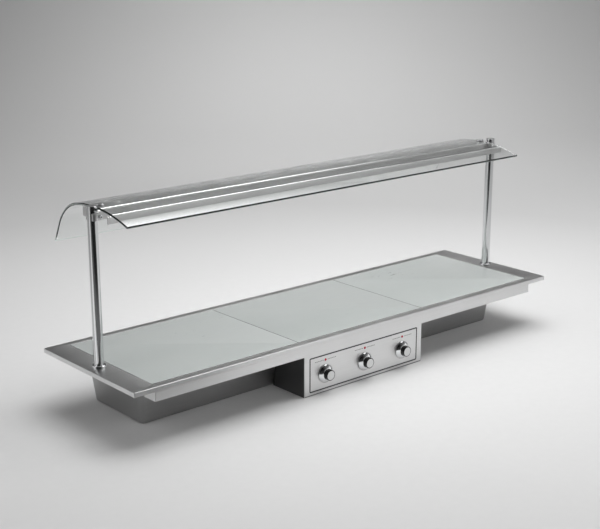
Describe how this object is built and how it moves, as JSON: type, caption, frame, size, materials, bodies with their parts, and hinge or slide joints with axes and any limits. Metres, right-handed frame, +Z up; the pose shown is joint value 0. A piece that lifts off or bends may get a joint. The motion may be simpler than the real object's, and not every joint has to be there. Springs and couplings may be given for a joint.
{
  "type": "heated buffet unit with sneeze guard",
  "caption": "Drop-in heated glass-top serving unit with tubular posts, a lamp housing and a curved clear sneeze guard over it, and turn knobs on its front.",
  "frame": {"origin": "on the base plane (underside of the well and control box), midway along the length and across the deck's depth", "axes": "+X along the length, to the right seen from the controls; +Y from the operator's side with the controls to the customer's side under the guard's tail; +Z up"},
  "size_m": [1.5, 0.4464, 0.5563],
  "materials": {
    "satin_steel": "satin",
    "dark_steel": "satin",
    "hood_steel": "satin",
    "tile_glass": "gloss",
    "clear_glass": "gloss",
    "seal_rubber": "matte",
    "heater_foil": "satin",
    "mineral_wool": "matte",
    "ceramic": "matte",
    "polished_steel": "polished",
    "chrome": "polished",
    "knob_face": "satin",
    "zinc_steel": "satin",
    "black_plastic": "matte",
    "pale_plastic": "satin",
    "red_lens": "gloss",
    "quartz": "gloss"
  },
  "bodies": {
    "unit": {"deck_frame": "satin_steel", "tile_left": "tile_glass", "tile_mid": "tile_glass", "tile_right": "tile_glass", "tile_seal": "seal_rubber", "heater_left": "heater_foil", "heater_mid": "heater_foil", "heater_right": "heater_foil", "limiters": "ceramic", "insulation_slab": "mineral_wool", "carrier_tray": "dark_steel", "well_tub": "dark_steel", "front_panel": "satin_steel", "control_box": "dark_steel", "fascia_plate": "satin_steel", "pilot_lenses": "red_lens", "regulator_1": "black_plastic", "regulator_2": "black_plastic", "regulator_3": "black_plastic", "regulator_nuts": "zinc_steel", "terminal_block": "pale_plastic", "cable_gland": "black_plastic", "post_left": "polished_steel", "post_right": "polished_steel", "collar_left": "chrome", "collar_right": "chrome", "post_washers": "zinc_steel", "post_locknuts": "zinc_steel", "post_caps": "polished_steel", "lamp_housing": "hood_steel", "housing_end_left": "hood_steel", "housing_end_right": "hood_steel", "clamp_left": "hood_steel", "clamp_right": "hood_steel", "clamp_screws": "chrome", "front_rail": "satin_steel", "rail_arms": "satin_steel", "rail_gasket": "seal_rubber", "sneeze_glass": "clear_glass", "glass_pads": "seal_rubber", "glass_washers": "seal_rubber", "glass_buttons": "chrome", "lamp_reflectors": "heater_foil", "lamp_tubes": "quartz", "lamp_holders": "ceramic", "reflector_screws": "zinc_steel"},
    "control_1": {"spindle_1": "zinc_steel", "knob_1": "chrome", "knob_face_1": "knob_face"},
    "control_2": {"spindle_2": "zinc_steel", "knob_2": "chrome", "knob_face_2": "knob_face"},
    "control_3": {"spindle_3": "zinc_steel", "knob_3": "chrome", "knob_face_3": "knob_face"}
  },
  "joints": [
    {"name": "control_1_turn", "type": "hinge", "parent": "unit", "child": "control_1", "pos_m": [-0.1545, -0.2092, 0.0515], "axis": [0, 1, 0], "range_deg": [0, 270]},
    {"name": "control_2_turn", "type": "hinge", "parent": "unit", "child": "control_2", "pos_m": [-0.012, -0.2092, 0.0515], "axis": [0, 1, 0], "range_deg": [0, 270]},
    {"name": "control_3_turn", "type": "hinge", "parent": "unit", "child": "control_3", "pos_m": [0.1305, -0.2092, 0.0515], "axis": [0, 1, 0], "range_deg": [0, 270]}
  ]
}
